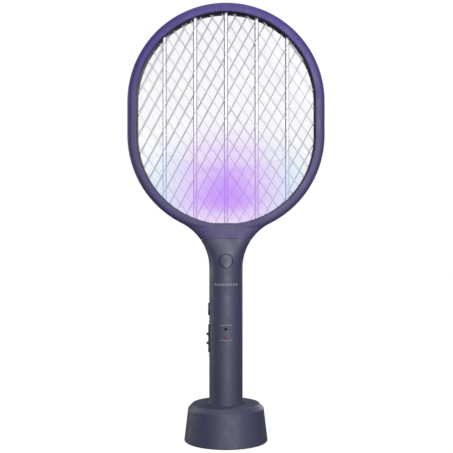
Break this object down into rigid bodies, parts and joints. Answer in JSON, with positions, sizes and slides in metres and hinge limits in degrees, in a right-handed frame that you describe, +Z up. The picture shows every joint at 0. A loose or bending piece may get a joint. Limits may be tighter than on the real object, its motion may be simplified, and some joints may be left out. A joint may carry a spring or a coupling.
{
  "type": "electric fly swatter",
  "caption": "Electric fly swatter: a racket with guard nets over a high-voltage grid and an ultraviolet lamp, standing in its round charging base.",
  "frame": {"origin": "centre of the base's footprint, on the surface that it stands on", "axes": "+Z up along the handle; -Y is the front, which has the round button; the side controls are at -X"},
  "size_m": [0.22, 0.093, 0.4893],
  "materials": {
    "head_plastic": "satin violet moulding that fades to slate towards the neck",
    "handle_plastic": "soft-touch slate blue moulding",
    "base_plastic": "soft-touch slate blue moulding",
    "dark_plastic": "near-black satin moulding",
    "net_metal": "bright drawn wire",
    "rib_plastic": "milky white moulding",
    "window_plastic": "clear polycarbonate",
    "red_led": "red tinted lens",
    "board": "green solder mask",
    "contact_metal": "gold plated",
    "steel": "zinc plated",
    "battery_metal": "shrink-wrapped cell",
    "transformer_tape": "yellow polyester tape",
    "capacitor_epoxy": "dipped epoxy",
    "wire_insulation": "silicone insulation",
    "foot_rubber": "matt black rubber"
  },
  "bodies": {
    "base": {"base_shell": "base_plastic", "base_plate": "base_plastic", "base_foot_ring": "foot_rubber", "usb_c_shell": "steel", "base_board": "board", "usb_c_tongue": "dark_plastic", "contact_pin_holder": "dark_plastic", "base_screws": "steel"},
    "racket": {"head_front_frame": "head_plastic", "head_rear_frame": "head_plastic", "front_guard_net": "net_metal", "rear_guard_net": "net_metal", "high_voltage_grid": "net_metal", "front_spacer_ring": "dark_plastic", "rear_spacer_ring": "dark_plastic", "uv_lamp_window": "window_plastic", "grid_rib_front_1": "rib_plastic", "grid_rib_front_2": "rib_plastic", "grid_rib_front_3": "rib_plastic", "grid_rib_front_4": "rib_plastic", "grid_rib_front_5": "rib_plastic", "grid_rib_rear_1": "rib_plastic", "grid_rib_rear_2": "rib_plastic", "grid_rib_rear_3": "rib_plastic", "grid_rib_rear_4": "rib_plastic", "grid_rib_rear_5": "rib_plastic", "handle_front_shell": "handle_plastic", "handle_rear_shell": "handle_plastic", "handle_end_cap": "handle_plastic", "switch_bezel": "dark_plastic", "main_board": "board", "side_switch_board": "board", "slide_switch": "dark_plastic", "side_tact_switch": "dark_plastic", "front_tact_switch": "dark_plastic", "boost_transformer": "transformer_tape", "high_voltage_capacitor": "capacitor_epoxy", "battery_cell": "battery_metal", "battery_contacts": "steel", "battery_leads": "wire_insulation", "high_voltage_leads": "wire_insulation", "uv_lamp_board": "board", "uv_leds": "window_plastic", "charge_led": "window_plastic", "power_led": "red_led", "charging_contacts": "contact_metal", "handle_screws": "steel", "head_screws": "steel", "neck_collar": "dark_plastic"},
    "front_button": {"front_button": "handle_plastic"},
    "side_button": {"side_button": "dark_plastic"},
    "mode_slider": {"mode_slider": "dark_plastic"},
    "contact_pins": {"contact_pins": "contact_metal"}
  },
  "joints": [
    {"name": "racket_lift_off", "type": "slide", "parent": "base", "child": "racket", "axis": [0, 0, 1], "range_m": [0, 0.08]},
    {"name": "front_button_press", "type": "slide", "parent": "racket", "child": "front_button", "axis": [0, 1, 0], "range_m": [0, 0.0008], "stiffness_N_per_m": 250, "springref_m": -0.001},
    {"name": "side_button_press", "type": "slide", "parent": "racket", "child": "side_button", "axis": [1, 0, 0], "range_m": [0, 0.001], "stiffness_N_per_m": 250, "springref_m": -0.001},
    {"name": "mode_slide", "type": "slide", "parent": "racket", "child": "mode_slider", "axis": [0, 0, 1], "range_m": [-0.003, 0.003]},
    {"name": "contact_pin_press", "type": "slide", "parent": "base", "child": "contact_pins", "axis": [0, 0, -1], "range_m": [0, 0.0009], "stiffness_N_per_m": 150, "springref_m": -0.0008}
  ]
}
